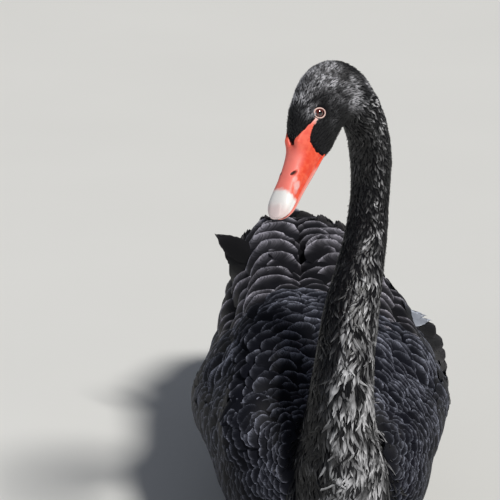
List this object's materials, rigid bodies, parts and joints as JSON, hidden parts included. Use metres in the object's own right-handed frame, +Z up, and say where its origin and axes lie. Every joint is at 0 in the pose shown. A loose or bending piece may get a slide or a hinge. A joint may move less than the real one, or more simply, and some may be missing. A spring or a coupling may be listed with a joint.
{
  "type": "black swan",
  "caption": "Still, life-size black swan resting on its belly, with a long curved neck, a red bill turned to one side, folded ruffled wings, a short tail and tucked webbed feet.",
  "frame": {"origin": "middle of the flat of the belly, on the floor", "axes": "+Z up, -Y the way the breast faces, +X the swan's left"},
  "size_m": [0.2697, 0.6529, 0.5303],
  "materials": {
    "plumage": "near-black feathers with a faint blue sheen and paler grey edges, frosted grey on the crown and nape",
    "bill": "waxy orange-red horn with a white band and a pale nail, and bare skin that runs up to the eye",
    "eye": "wet dark red-brown eye",
    "feet": "dark grey scaly skin with black claws"
  },
  "bodies": {
    "root": {"trunk": "plumage", "neck_lower": "plumage", "neck_middle": "plumage", "neck_upper": "plumage", "head": "plumage", "wing_left": "plumage", "wing_right": "plumage", "tail": "plumage", "bill_upper": "bill", "bill_lower": "bill", "eye_left": "eye", "eye_right": "eye", "leg_left": "feet", "leg_right": "feet", "foot_left": "feet", "foot_right": "feet"}
  },
  "joints": []
}
